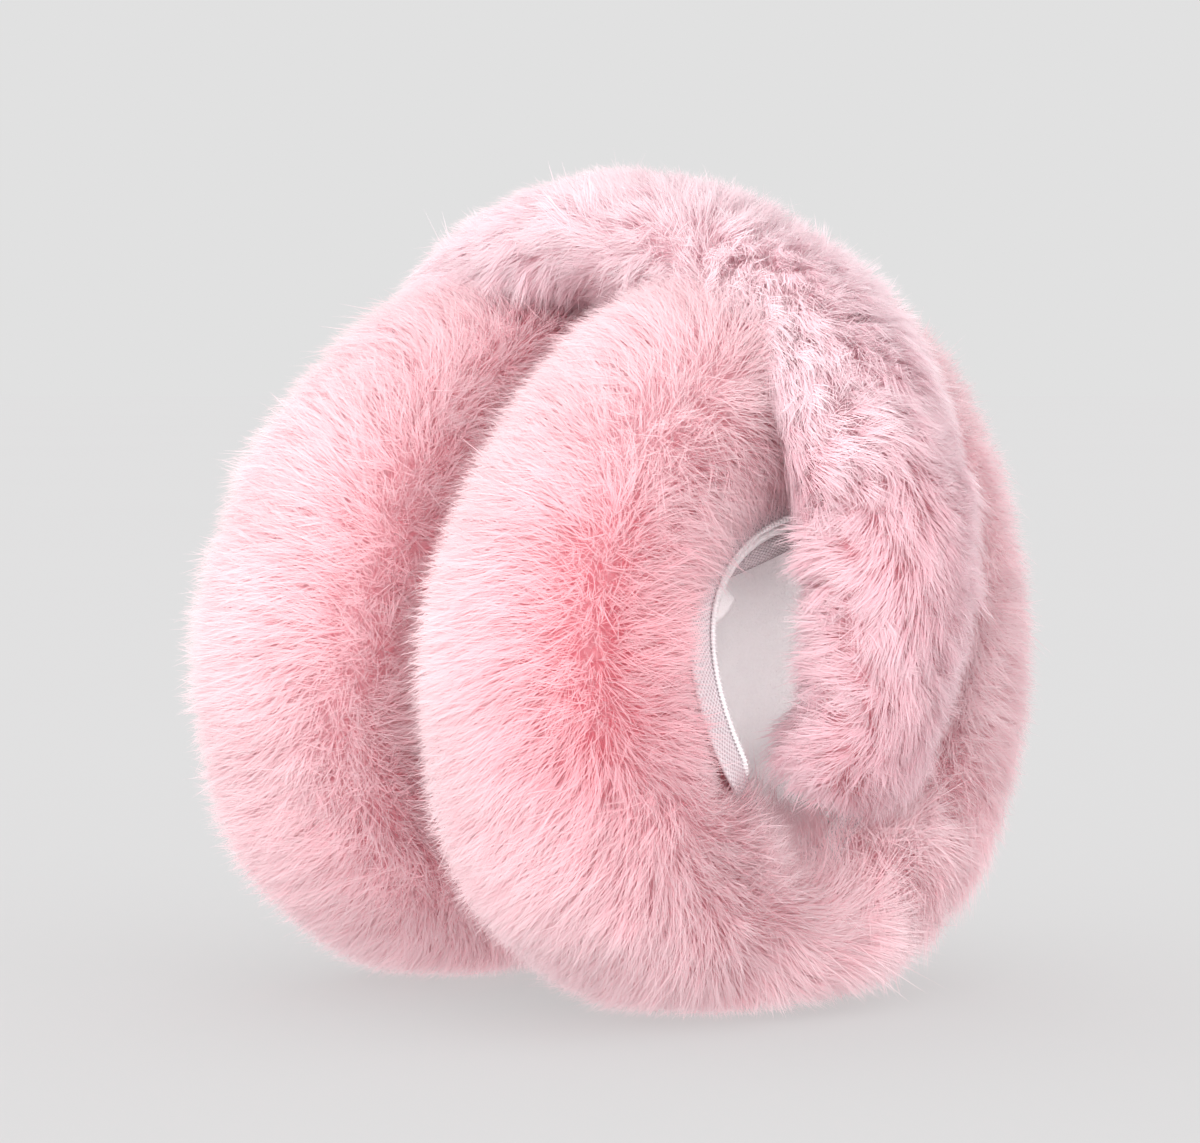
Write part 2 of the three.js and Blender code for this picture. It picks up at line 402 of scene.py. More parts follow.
@dataclass(frozen=True)
class Finish:
    """A plain cloth finish: mottled dye, a soft bump and a low sheen."""

    name: str
    slot: str
    light: Colour
    dark: Colour
    grain: float = 300.0
    relief: float = 0.2
    roughness: float = 0.9
    sheen: float = 0.2

    def start(self) -> tuple[bpy.types.Material, bpy.types.NodeTree, bpy.types.Node]:
        """An empty material with its surface shader.

        Returns:
            The material, its node tree and the shader node.
        """
        material = bpy.data.materials.new(self.name)
        material.use_nodes = True
        tree = material.node_tree
        shader = tree.nodes["Principled BSDF"]
        shader.inputs["Roughness"].default_value = self.roughness
        shader.inputs["Specular IOR Level"].default_value = 0.25
        shader.inputs["Sheen Weight"].default_value = self.sheen
        shader.inputs["Sheen Roughness"].default_value = 0.5
        return material, tree, shader

    def placed(self, tree: bpy.types.NodeTree, group: bpy.types.NodeTree, **values):
        """Puts a shared group in the material with this finish's own values.

        Args:
            tree: the material's tree.
            group: the shared node group.
            values: its inputs by name.

        Returns:
            The group node.
        """
        node = tree.nodes.new("ShaderNodeGroup")
        node.node_tree = group
        for label, value in values.items():
            socket = node.inputs[label]
            socket.default_value = (*value, 1.0) if isinstance(value, tuple) else value
        return node

    def relieved(self, tree: bpy.types.NodeTree, shader: bpy.types.Node, height, depth: float):
        """Turns a height into a bump on the shader.

        Args:
            tree: the material's tree.
            shader: the surface shader.
            height: the height's socket.
            depth: how deep the bump is.
        """
        bump = add_node(tree, "ShaderNodeBump", {"Strength": self.relief, "Distance": depth})
        tree.links.new(height, bump.inputs["Height"])
        tree.links.new(bump.outputs["Normal"], shader.inputs["Normal"])

    def material(self) -> bpy.types.Material:
        """Builds the finish.

        Returns:
            The material.
        """
        material, tree, shader = self.start()
        mottle = self.placed(
            tree, Effects.soft_mottle(), Scale=self.grain, Light=self.light, Dark=self.dark
        )
        tree.links.new(mottle.outputs["Colour"], shader.inputs["Base Color"])
        self.relieved(tree, shader, mottle.outputs["Height"], 0.4 * MM)
        return material


@dataclass(frozen=True)
class FurFinish(Finish):
    """Dyed fur, deep at the root and pale at the tip."""

    middle: Colour = (0.88, 0.5, 0.58)
    glow: float = 0.58

    def material(self) -> bpy.types.Material:
        """Builds the fur's finish, whose dark is the root and whose light is the tip.

        Returns:
            The material.
        """
        material, tree, shader = self.start()
        pile = self.placed(
            tree, Effects.pile_colour(), Root=self.dark, Middle=self.middle, Tip=self.light
        )
        tree.links.new(pile.outputs["Colour"], shader.inputs["Base Color"])
        shader.inputs["Sheen Tint"].default_value = (1.0, 0.9, 0.93, 1.0)
        through = tree.nodes.new("ShaderNodeBsdfTranslucent")
        both = add_node(tree, "ShaderNodeMixShader", {0: self.glow})
        tree.links.new(pile.outputs["Colour"], through.inputs["Color"])
        tree.links.new(shader.outputs[0], both.inputs[1])
        tree.links.new(through.outputs[0], both.inputs[2])
        tree.links.new(both.outputs[0], tree.nodes["Material Output"].inputs["Surface"])
        return material


@dataclass(frozen=True)
class ThreadFinish(Finish):
    """A cloth whose crossing threads show as ribs with darker gaps."""

    along: float = 40.0
    across: float = 6.0
    gap: Colour = (0.86, 0.82, 0.83)

    def material(self) -> bpy.types.Material:
        """Builds the ribbed finish.

        Returns:
            The material.
        """
        material, tree, shader = self.start()
        mottle = self.placed(
            tree, Effects.soft_mottle(), Scale=self.grain, Light=self.light, Dark=self.dark
        )
        ribs = self.placed(tree, Effects.thread_ribs(), Along=self.along, Across=self.across)
        gap = add_node(tree, "ShaderNodeMix", data_type="RGBA", blend_type="MULTIPLY")
        gap.inputs[7].default_value = (*self.gap, 1.0)
        tree.links.new(ribs.outputs["Mask"], gap.inputs[0])
        tree.links.new(mottle.outputs["Colour"], gap.inputs[6])
        tree.links.new(gap.outputs[2], shader.inputs["Base Color"])
        self.relieved(tree, shader, ribs.outputs["Height"], 0.15 * MM)
        return material


CUP_FUR = FurFinish(
    "cup fur", "cup_fur", light=(1.0, 0.845, 0.87), dark=(0.97, 0.31, 0.38),
    middle=(0.98, 0.65, 0.7), roughness=0.8, sheen=0.2,
)
BAND_FUR = FurFinish(
    "band fur", "band_fur", light=(0.98, 0.86, 0.89), dark=(0.93, 0.42, 0.48),
    middle=(0.94, 0.7, 0.75), roughness=0.8, sheen=0.2,
)
FLEECE = Finish(
    "brushed fleece", "fleece", light=(0.985, 0.98, 0.98), dark=(0.93, 0.92, 0.925),
    grain=300.0, relief=1.0, sheen=0.4,
)
KNIT = ThreadFinish(
    "knitted backing", "knit_backing", light=(0.76, 0.7, 0.72), dark=(0.68, 0.61, 0.64),
    grain=700.0, relief=0.6, along=1250.0, across=44.0, gap=(0.62, 0.5, 0.53),
)
YARN = Finish(
    "stitch yarn", "edge_stitching", light=(0.92, 0.9, 0.91), dark=(0.82, 0.79, 0.8),
    grain=1500.0, relief=0.4, roughness=0.7, sheen=0.3,
)
TAPE = ThreadFinish(
    "woven tape", "woven_tape", light=(0.6, 0.53, 0.55), dark=(0.5, 0.43, 0.45),
    grain=900.0, relief=0.8, roughness=0.7, along=190.0, across=62.0, gap=(0.7, 0.64, 0.66),
)


class Wardrobe:
    """Materials by finish, each built once."""

    _made: dict[str, bpy.types.Material] = {}

    @classmethod
    def dress(cls, piece: bpy.types.Object, finish: Finish) -> None:
        """Gives a piece a finish.

        Args:
            piece: the piece to dress.
            finish: its finish.
        """
        if finish.name not in cls._made:
            cls._made[finish.name] = finish.material()
        piece.data.materials.clear()
        piece.data.materials.append(cls._made[finish.name])


# ---------------------------------------------------------------- fur


@dataclass
class Underlay:
    """The cloth under the fur: a padded form one pile height inside its CAD solid."""

    node: str
    voxel: float = 3.2 * MM
    rounding: int = 4
    thin_share: float = 0.36
    piece: bpy.types.Object | None = None
    outer: np.ndarray = field(default_factory=lambda: np.zeros((0, 3)))
    points: np.ndarray = field(default_factory=lambda: np.zeros((0, 3)))
    normals: np.ndarray = field(default_factory=lambda: np.zeros((0, 3)))
    corners: np.ndarray = field(default_factory=lambda: np.zeros((0, 3), int))

    def build(self, name: str, depth_at, lift_at) -> bpy.types.Object:
        """Remeshes the CAD solid evenly and draws it in.

        Args:
            name: the piece's name.
            depth_at: a function of points and normals that gives each point's depth.
            lift_at: the same for how far the fur stands out past the solid.

        Returns:
            The underlay as a piece.
        """
        mesh = frame["nodes"][self.node].data.copy()
        mesh.materials.clear()
        work = bmesh.new()
        work.from_mesh(mesh)
        bmesh.ops.remove_doubles(work, verts=work.verts, dist=1e-6)
        work.to_mesh(mesh)
        work.free()
        self.piece = link(name, mesh)
        even = self.piece.modifiers.new("even", "REMESH")
        even.mode = "VOXEL"
        even.voxel_size = self.voxel
        soften = self.piece.modifiers.new("soften", "SMOOTH")
        soften.iterations = 4
        settle(self.piece)
        self.read()
        lift = lift_at(self.points, self.normals)
        self.outer = self.points + self.normals * lift[:, None]
        depth = np.minimum(depth_at(self.points, self.normals), self.thin_share * self.thickness())
        self.points = self.points - self.normals * depth[:, None]
        self.write()
        soften = self.piece.modifiers.new("soften", "SMOOTH")
        soften.iterations = self.rounding
        settle(self.piece)
        self.read()
        return self.piece

    def wrap(self, name: str, outer: np.ndarray, inner: np.ndarray) -> bpy.types.Object:
        """Makes the underlay from rows of points, each with its place on the fur's outer face.

        Args:
            name: the piece's name.
            outer: rows of points on the fur's outer face.
            inner: the same rows on the underlay.

        Returns:
            The underlay as a piece.
        """
        self.piece = grid_mesh(name, inner, wrap_across=True)
        self.outer = outer.reshape(-1, 3)
        self.read()
        return self.piece

    def tint(self, tone: np.ndarray) -> None:
        """Gives the underlay a map of the fur's colour just above its root.

        Args:
            tone: each point's paleness, painted light and shade included.
        """
        mesh = self.piece.data
        above = 0.36 + 0.12 * drift(self.points, 9 * MM, 5.0)[:, 0]
        corners = np.empty(len(mesh.loops), np.int32)
        mesh.loops.foreach_get("vertex_index", corners)
        places = np.stack([np.clip(tone, 0.01, 0.99), np.clip(above, 0.02, 0.9)], 1)[corners]
        layer = mesh.uv_layers.new(name=FUR_MAP)
        layer.data.foreach_set("uv", places.astype(np.float32).ravel())

    def thickness(self) -> np.ndarray:
        """How thick the form is below each point, eased over its neighbours.

        Returns:
            One thickness for each point.
        """
        mesh = self.piece.data
        polygons = [tuple(p.vertices) for p in mesh.polygons]
        tree = bvhtree.BVHTree.FromPolygons(self.points.tolist(), polygons)
        start = 0.2 * MM
        found = np.full(len(self.points), 1.0)
        for index, (point, normal) in enumerate(zip(self.points, self.normals)):
            _, _, _, distance = tree.ray_cast(Vector(point - start * normal), Vector(-normal))
            if distance is not None:
                found[index] = distance + start
        ends = np.empty(len(mesh.edges) * 2, np.int32)
        mesh.edges.foreach_get("vertices", ends)
        first, second = ends.reshape(-1, 2).T
        found = np.minimum(found, 0.08)
        for _ in range(8):
            total, count = found.copy(), np.ones(len(found))
            np.add.at(total, first, found[second])
            np.add.at(total, second, found[first])
            np.add.at(count, first, 1.0)
            np.add.at(count, second, 1.0)
            found = np.minimum(found, total / count)
        return found

    def plump(self, pinned: np.ndarray, reach: float) -> None:
        """Blows the padded form up a little with Cloth, so that it takes natural swells.

        Args:
            pinned: how firmly each point is held, from 0 to 1.
            reach: the furthest that a point may move.
        """
        rest = self.points.copy()
        group = self.piece.vertex_groups.new(name="held")
        for index, weight in enumerate(pinned):
            group.add([index], float(weight), "REPLACE")
        cloth = self.piece.modifiers.new("padding", "CLOTH")
        cloth.settings.use_pressure = True
        cloth.settings.uniform_pressure_force = 3.0
        cloth.settings.effector_weights.gravity = 0.0
        cloth.settings.vertex_group_mass = "held"
        cloth.settings.quality = 4
        scene = bpy.context.scene
        for step in range(1, 16):
            scene.frame_set(step)
        settle(self.piece)
        scene.frame_set(1)
        self.piece.vertex_groups.clear()
        self.read()
        moved = self.points - rest
        size = np.linalg.norm(moved, axis=1, keepdims=True)
        self.points = rest + moved * np.minimum(1.0, reach / np.maximum(size, 1e-9))
        self.write()

    def read(self) -> None:
        """Reads the piece's points, normals and triangles."""
        mesh = self.piece.data
        count = len(mesh.vertices)
        self.points = np.empty(count * 3)
        mesh.vertices.foreach_get("co", self.points)
        self.points = self.points.reshape(-1, 3)
        self.normals = np.empty(count * 3)
        mesh.vertex_normals.foreach_get("vector", self.normals)
        self.normals = self.normals.reshape(-1, 3)
        mesh.calc_loop_triangles()
        self.corners = np.empty(len(mesh.loop_triangles) * 3, np.int32)
        mesh.loop_triangles.foreach_get("vertices", self.corners)
        self.corners = self.corners.reshape(-1, 3)

    def write(self) -> None:
        """Writes the points back to the piece and smooths its shading."""
        mesh = self.piece.data
        mesh.vertices.foreach_set("co", self.points.ravel())
        mesh.polygons.foreach_set("use_smooth", np.ones(len(mesh.polygons), bool))
        mesh.update()
        self.read()

    def scatter(
        self, count: int, density_at, rng: np.random.Generator
    ) -> tuple[np.ndarray, np.ndarray]:
        """Places on the underlay that cover the fur's outer face evenly.

        Args:
            count: how many places.
            density_at: a function of points and normals that gives the share of fur there.
            rng: the random numbers to draw from.

        Returns:
            The places, and from each the way up through the pile to the outer face.
        """
        a, b, c = (self.outer[self.corners[:, k]] for k in range(3))
        area = 0.5 * np.linalg.norm(np.cross(b - a, c - a), axis=1)
        facing = unit(self.normals[self.corners].sum(axis=1))
        area = area * density_at((a + b + c) / 3.0, facing)
        reached = np.cumsum(area)
        draws = (np.arange(count) + rng.random(count)) / count * reached[-1]
        chosen = np.minimum(np.searchsorted(reached, draws), len(area) - 1)
        r, s = np.sqrt(rng.random(count)), rng.random(count)
        weights = np.stack([1.0 - r, r * (1.0 - s), r * s], axis=1)[:, :, None]
        corners = self.corners[chosen]
        places = (self.points[corners] * weights).sum(axis=1)
        return places, (self.outer[corners] * weights).sum(axis=1) - places


@dataclass
class Neighbours:
    """Furred solids that a coat must not grow into."""

    nodes: tuple[str, ...]
    sink: float = 2.5 * MM

    def push_out(self, points: np.ndarray) -> np.ndarray:
        """Moves points that lie deep inside a neighbour out into its fur.

        Args:
            points: places to test.

        Returns:
            The places, none of them deeper in a neighbour than its fur lets them sink.
        """
        cleared = points.copy()
        for name in self.nodes:
            for index, spot, normal, depth in self.inside(name, cleared):
                if depth > self.sink:
                    cleared[index] = spot - normal * self.sink
        return cleared

    def depth_of(self, points: np.ndarray) -> np.ndarray:
        """How deep each point lies in the neighbours, 0 outside of them."""
        depths = np.zeros(len(points))
        for name in self.nodes:
            for index, _, _, depth in self.inside(name, points):
                depths[index] = max(depths[index], depth)
        return depths

    def inside(self, name: str, points: np.ndarray):
        """Finds the points inside a CAD node.

        Args:
            name: the node.
            points: places to test.

        Yields:
            The point's number, the nearest place on the surface, the normal there and the depth.
        """
        low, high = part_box(name)
        tree = bvhtree.BVHTree.FromPolygons(*self.polygons(name))
        near = np.all((points > np.array(low)) & (points < np.array(high)), axis=1)
        for index in np.flatnonzero(near):
            spot, normal, _, _ = tree.find_nearest(Vector(points[index]))
            depth = (spot - Vector(points[index])).dot(normal)
            if depth > 0.0:
                yield index, spot, normal, depth

    @staticmethod
    def polygons(name: str) -> tuple[list, list]:
        """A CAD node's vertices and faces, for a search tree.

        Args:
            name: the node.

        Returns:
            The vertex places and the faces' corners.
        """
        mesh = frame["nodes"][name].data
        return [v.co.copy() for v in mesh.vertices], [tuple(p.vertices) for p in mesh.polygons]


@dataclass
class Coat:
    """A coat of fur: how deep, how dense and how combed it is."""

    name: str
    strands: int
    seed: int
    finish: FurFinish
    half_width: float = 0.082 * MM
    upright: float = 12.0
    sweep: float = 74.0
    strands_per_lock: int = 10
    lock_pull: float = 0.22
    unruly: float = 0.2
    stray: float = 0.22
    floor: float = 0.3 * MM
    height: float = 1.0
    softness: float = 0.95

    def grow(
        self, underlay: Underlay, density_at, comb_at, tone_at, neighbours: Neighbours
    ) -> bpy.types.Object:
        """Grows the coat as one mesh of tapered strands.

        Args:
            underlay: the form that the strands are rooted in.
            density_at: share of fur at points and normals.
            comb_at: combing direction at points and normals, up to unit size.
            tone_at: paleness at points and normals, from 0 to 1, painted light and shade included.
            neighbours: the solids to stay out of.

        Returns:
            The coat as a piece.
        """
        rng = np.random.default_rng(self.seed)
        roots, rise = underlay.scatter(self.strands, density_at, rng)
        count = max(1, self.strands // self.strands_per_lock)
        lock_roots, lock_rise = underlay.scatter(count, density_at, rng)
        normals, lock_normals = unit(rise), unit(lock_rise)
        lock_of = self.nearest(lock_roots, roots)
        lock_way = rng.normal(size=(count, 3)) * self.unruly
        lock_tone = rng.normal(size=count) * 0.04
        lock_size = 1.0 + rng.normal(size=count) * 0.05

        lock_comb = self.tangent(comb_at(lock_roots, lock_normals) + lock_way, lock_normals)
        own = rng.normal(size=(self.strands, 3)) * self.stray
        comb = comb_at(roots, normals) + 0.75 * lock_way[lock_of] + own
        comb = self.tangent(comb, normals)
        size = self.height * np.linalg.norm(rise, axis=1) * lock_size[lock_of]
        size = size * (1.0 + 0.06 * rng.normal(size=self.strands))
        guard = rng.random(self.strands) < 0.06
        size = np.where(guard, size * 1.1, size)
        lock_height = self.height * np.linalg.norm(lock_rise, axis=1) * lock_size

        bend, tip = self.curve(roots, normals, comb, np.maximum(size, 0.4 * MM))
        _, lock_tip = self.curve(lock_roots, lock_normals, lock_comb, lock_height)
        pull = self.lock_pull * np.where(guard, 0.3, 1.0)[:, None]
        gathered = lock_tip[lock_of] + 0.4 * (tip - lock_tip[lock_of])
        tip = tip + pull * (gathered - tip)
        bend = bend + 0.3 * pull * (gathered - tip)
        tip = neighbours.push_out(tip)
        bend = neighbours.push_out(bend)
        for points in (bend, tip):
            points[:, 2] = np.maximum(points[:, 2], self.floor * (1.0 + rng.random(self.strands)))

        # the paleness is the painted light and shade of tone_at, with random tone per lock and per
        # strand
        tone = tone_at(roots, normals) + lock_tone[lock_of] + rng.normal(size=self.strands) * 0.07
        width = self.half_width * np.where(guard, 0.7, 1.0) * (0.8 + 0.4 * rng.random(self.strands))
        roll = rng.normal(size=self.strands) * 0.5
        return self.weave(roots, bend, tip, normals, width, roll, np.clip(tone, 0.01, 0.99))

    @staticmethod
    def nearest(centres: np.ndarray, points: np.ndarray) -> np.ndarray:
        """Index of the centre nearest to each point."""
        tree = kdtree.KDTree(len(centres))
        for index, centre in enumerate(centres):
            tree.insert(centre, index)
        tree.balance()
        return np.array([tree.find(point)[1] for point in points])

    @staticmethod
    def tangent(vectors: np.ndarray, normals: np.ndarray) -> np.ndarray:
        """The part of each vector that lies along the surface, at most unit size."""
        flat = vectors - (vectors * normals).sum(axis=1, keepdims=True) * normals
        size = np.linalg.norm(flat, axis=1, keepdims=True)
        return flat / np.maximum(size, 1.0)

    def curve(
        self, roots: np.ndarray, normals: np.ndarray, comb: np.ndarray, height: np.ndarray
    ) -> tuple[np.ndarray, np.ndarray]:
        """Where strands bend and end, rising from the root and sweeping over with the comb.

        Args:
            roots: the strands' roots.
            normals: outward normals there.
            comb: combing direction, whose size is how far the strand leans.
            height: how high the strands stand above the underlay, as an evenly clipped pile.

        Returns:
            The bends and the tips.
        """
        strength = np.linalg.norm(comb, axis=1, keepdims=True)
        way = comb / np.maximum(strength, 1e-6)
        first = np.radians(self.upright + 24.0 * strength)
        second = np.radians(self.upright + (self.sweep - self.upright) * strength)
        half = height[:, None] / (np.cos(first) + np.cos(second))
        bend = roots + half * (np.cos(first) * normals + np.sin(first) * way)
        tip = bend + half * (np.cos(second) * normals + np.sin(second) * way)
        return bend, tip

    def weave(
        self,
        roots: np.ndarray,
        bend: np.ndarray,
        tip: np.ndarray,
        normals: np.ndarray,
        width: np.ndarray,
        roll: np.ndarray,
        tone: np.ndarray,
    ) -> bpy.types.Object:
        """Makes the strands' mesh: a slim blade for each, bent once and pointed at both ends.

        Args:
            roots: the strands' roots.
            bend: where they bend.
            tip: where they end.
            normals: outward normals at the roots.
            width: half the blades' widths.
            roll: how far each blade is turned about its length.
            tone: each strand's paleness.

        Returns:
            The coat as a piece.
        """
        count = len(roots)
        along = unit(tip - roots)
        across = unit(np.cross(along, normals))
        turned = unit(np.cross(along, across))
        across = np.cos(roll)[:, None] * across + np.sin(roll)[:, None] * turned
        side = across * width[:, None]
        points = np.stack([roots, bend - side, bend + side, tip], 1)
        first = np.arange(count)[:, None] * 4
        loops = first + np.array([[0, 2, 1, 1, 2, 3]])
        mesh = bpy.data.meshes.new(self.name)
        mesh.vertices.add(count * 4)
        mesh.vertices.foreach_set("co", points.astype(np.float32).ravel())
        mesh.loops.add(count * 6)
        mesh.loops.foreach_set("vertex_index", loops.astype(np.int32).ravel())
        mesh.polygons.add(count * 2)
        mesh.polygons.foreach_set("loop_start", np.arange(0, count * 6, 3, dtype=np.int32))
        mesh.polygons.foreach_set("use_smooth", np.ones(count * 2, bool))
        mesh.update(calc_edges=True)
        spread = 0.003
        # the map's first coordinate is each strand's paleness, painted light and shade included,
        # and the second runs from root to tip
        u = np.stack([tone, tone + spread, tone - spread, tone - spread, tone + spread, tone], 1)
        v = np.broadcast_to(np.array([0.01, 0.5, 0.5, 0.5, 0.5, 0.99]), u.shape)
        layer = mesh.uv_layers.new(name=FUR_MAP)
        layer.data.foreach_set("uv", np.stack([u, v], 2).astype(np.float32).ravel())
        facing = unit(self.softness * normals - (1.0 - self.softness) * turned)
        mesh.normals_split_custom_set_from_vertices(np.repeat(facing, 4, axis=0).tolist())
        piece = link(self.name, mesh)
        Wardrobe.dress(piece, self.finish)
        return piece


# ---------------------------------------------------------------- the ear opening


@dataclass
class Mouth:
    """The egg-shaped mouth of a cup's ear pocket, narrower towards the headband's end."""

    side: Side
    taper: float = 0.45
    level: float = 0.0
    middle: float = 0.0
    half_height: float = 0.0
    half_width: float = 0.0

    def __post_init__(self) -> None:
        """Measures the mouth on its stitched edge."""
        low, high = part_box(f"stitched_edge_{self.side.value}")
        rim = 1.1 * MM
        self.level = low.x + rim
        self.middle = (low.z + high.z) / 2
        self.half_height = (high.z - low.z) / 2 - rim
        angle = np.linspace(0.0, math.pi, 181)
        widest = (np.sin(angle) * (1.0 + self.taper * np.cos(angle))).max()
        self.half_width = ((high.y - low.y) / 2 - rim) / widest

    def rim(self, angle: np.ndarray, share: np.ndarray | float = 1.0) -> np.ndarray:
        """Places round the mouth in the plane of its edge.

        Args:
            angle: turn from the mouth's top towards the near side, in radians.
            share: distance from the mouth's middle, 1 at its edge.

        Returns:
            Sideways and upward places as rows.
        """
        egg = 1.0 + self.taper * np.cos(angle) * np.minimum(share, 1.0)
        across = -self.half_width * np.sin(angle) * egg * share
        up = self.half_height * np.cos(angle) * share
        return np.stack([across, self.middle + self.side.turn * up], axis=-1)

    def place(self, angle: np.ndarray, share: np.ndarray | float, level) -> np.ndarray:
        """Places round the mouth in the part's frame.

        Args:
            angle: turn from the mouth's top.
            share: distance from its middle, 1 at its edge.
            level: places along the stack's axis.

        Returns:
            Points as rows.
        """
        flat = self.rim(angle, share)
        across, up = flat[..., 0], flat[..., 1]
        x = np.broadcast_to(np.asarray(level, float), across.shape)
        return np.stack([x, across, up], axis=-1)

    def share_of(self, points: np.ndarray) -> np.ndarray:
        """How far out each point is from the mouth's middle, 1 at its edge.

        Args:
            points: places in the part's frame.

        Returns:
            The share for each place.
        """
        up = self.side.turn * (points[:, 2] - self.middle) / self.half_height
        across = np.abs(points[:, 1]) / self.half_width
        share = np.hypot(across, up)
        for _ in range(4):
            tilt = up / np.maximum(share, 1e-6)
            egg = 1.0 + self.taper * tilt * np.minimum(share, 1.0)
            share = np.hypot(across / egg, up)
        return share


@dataclass
class EarCup:
    """A fur ear cup with its underlay, two coats of fur and the trim of its pocket."""

    side: Side
    strands: int
    pile: float = 8.0 * MM
    ridge: float = 1.8
    bare_share: float = 1.06
    lining_cut: tuple[float, float] = (70 * MM, 76 * MM)
    knit_cut: tuple[float, float] = (10 * MM, 165 * MM)
    mouth: Mouth = field(init=False)
    underlay: Underlay = field(init=False)

    def __post_init__(self) -> None:
        """Finds the cup's places from the CAD solid."""
        self.mouth = Mouth(self.side)
        self.node = f"ear_cup_{self.side.value}"
        low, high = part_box(self.node)
        self.low, self.high = np.array(low), np.array(high)
        self.centre = (self.low + self.high) / 2
        self.underlay = Underlay(self.node)

    def ear_side(self, points: np.ndarray) -> np.ndarray:
        """Share of the ear side at each point, 0 on the back and 1 on the lobe."""
        return smooth_ramp(points[:, 0], self.centre[0] - 4 * MM, self.centre[0] + 10 * MM)

    def turn_round(self, points: np.ndarray) -> np.ndarray:
        """Turn of each point round the mouth, in degrees from its top to the near side."""
        up = self.side.turn * (points[:, 2] - self.mouth.middle) / self.mouth.half_height
        return np.degrees(np.arctan2(-points[:, 1] / self.mouth.half_width, up))

    def bare_zone(self, points: np.ndarray) -> np.ndarray:
        """Share of the near side of the mouth's ring, where the backing shows through."""
        turn = self.turn_round(points)
        return smooth_ramp(turn, 56.0, 80.0) * (1.0 - smooth_ramp(turn, 112.0, 134.0))

    def cover_zone(self, points: np.ndarray) -> np.ndarray:
        """Share of the mouth's low and far sides, where fur falls over the edge."""
        turn = self.turn_round(points)
        return 1.0 - smooth_ramp(turn, -50.0, -25.0) * (1.0 - smooth_ramp(turn, 116.0, 136.0))

    def open_share(self, points: np.ndarray) -> np.ndarray:
        """How far each point of the ear side is from the short fur of the mouth, 0 to 1."""
        full = 1.4 + 0.4 * self.bare_zone(points)
        share = self.mouth.share_of(points)
        out = smooth_ramp((share - self.bare_share) / (full - self.bare_share), 0.0, 1.0)
        before = smooth_ramp(points[:, 0], self.low[0] + 10 * MM, self.low[0] + 18 * MM)
        return 1.0 - before * (1.0 - out)

    def depth_at(self, points: np.ndarray, normals: np.ndarray) -> np.ndarray:
        """Depth of the underlay below the solid, less beside the mouth."""
        least = 3.4 * MM + 0.6 * MM * self.bare_zone(points)
        return least + (self.pile - least) * self.open_share(points)

    def lift_at(self, points: np.ndarray, normals: np.ndarray) -> np.ndarray:
        """How far the fur beside the mouth stands over the solid, or below it."""
        front = smooth_ramp(points[:, 0], self.centre[0] + 8 * MM, self.centre[0] + 14 * MM)
        share = self.mouth.share_of(points)
        ring = smooth_ramp(share, 0.95, 1.05) * (1.0 - smooth_ramp(share, 1.35, 1.7))
        cover, bare = self.cover_zone(points), self.bare_zone(points)
        rise = 2.4 * MM + 3.2 * MM * cover - 4.2 * MM * bare
        return front * ring * rise

    def density_at(self, points: np.ndarray, normals: np.ndarray, face: Face) -> np.ndarray:
        """Share of fur, none in the pocket and thin where the backing shows through."""
        share = self.mouth.share_of(points)
        lip = np.where(points[:, 0] > self.mouth.level - 4.5 * MM, self.cover_zone(points), 0.0)
        edge = self.bare_share - 0.2 * lip
        inside = (share < edge) & (points[:, 0] > self.low[0] + 13 * MM)
        front = points[:, 0] > self.centre[0]
        chosen = front if face is Face.EAR else ~front
        bare = self.bare_zone(points) * (1.0 - smooth_ramp(share, self.bare_share, 1.36))
        radius = np.hypot(points[:, 1] - self.centre[1], points[:, 2] - self.centre[2])
        pressed = (face is Face.EAR) == (self.side is Side.LEFT)
        crushed = 0.6 * pressed * (1.0 - smooth_ramp(radius, 34 * MM, 46 * MM))
        return np.where(inside | ~chosen, 0.0, (1.0 - 0.92 * bare) * (1.0 - crushed))

    def from_parting(self, points: np.ndarray) -> tuple[np.ndarray, np.ndarray]:
        """The way and the distance from the upright parting on the near side of the lobe.

        Args:
            points: places on the cup.

        Returns:
            Rows from the nearest place on the parting, and their lengths as a column.
        """
        start = np.array([self.high[0] - 7 * MM, self.low[1] + 14 * MM, self.low[2] + 55 * MM])
        length = 24 * MM
        along = np.clip(points[:, 2] - start[2], 0.0, length)
        lean = np.stack([0.0 * along, -0.1 * along, along], axis=1)
        away = points - start - lean
        return away, np.linalg.norm(away, axis=1, keepdims=True)

    def comb_at(self, points: np.ndarray, normals: np.ndarray) -> np.ndarray:
        """Combing direction: off the lobe over the rim to the back, and in to the mouth."""
        radial = points - self.centre
        radial[:, 0] = 0.0
        radial = unit(radial)
        over = np.clip((self.mouth.share_of(points) - self.ridge) / 0.6, -1.0, 1.0)[:, None]
        facing = normals[:, 0:1]
        front = smooth_ramp(facing, 0.1, 0.7)
        rear = smooth_ramp(-facing, 0.2, 0.8)
        down = np.array([0.0, 0.0, -1.0])
        backward = np.array([-1.0, 0.0, 0.0])
        away, distance = self.from_parting(points)
        fan = unit(away) * np.exp(-((distance / (22 * MM)) ** 2)) * distance / (distance + 5 * MM)
        lip = self.cover_zone(points) * (1.0 - smooth_ramp(self.mouth.share_of(points), 1.25, 1.6))
        over = over - 0.5 * lip[:, None]
        comb = front * (0.7 * radial * over + 0.1 * down)
        comb += (1.0 - front - rear) * (0.45 * backward + 0.12 * down)
        comb += rear * (0.3 * down - 0.35 * radial)
        comb += self.fan_share * fan + drift(points, 52 * MM, 1.0 + self.side.turn) * 0.2
        return comb + drift(points, 19 * MM, 4.0) * 0.55 * self.ruffled(points)[:, None]

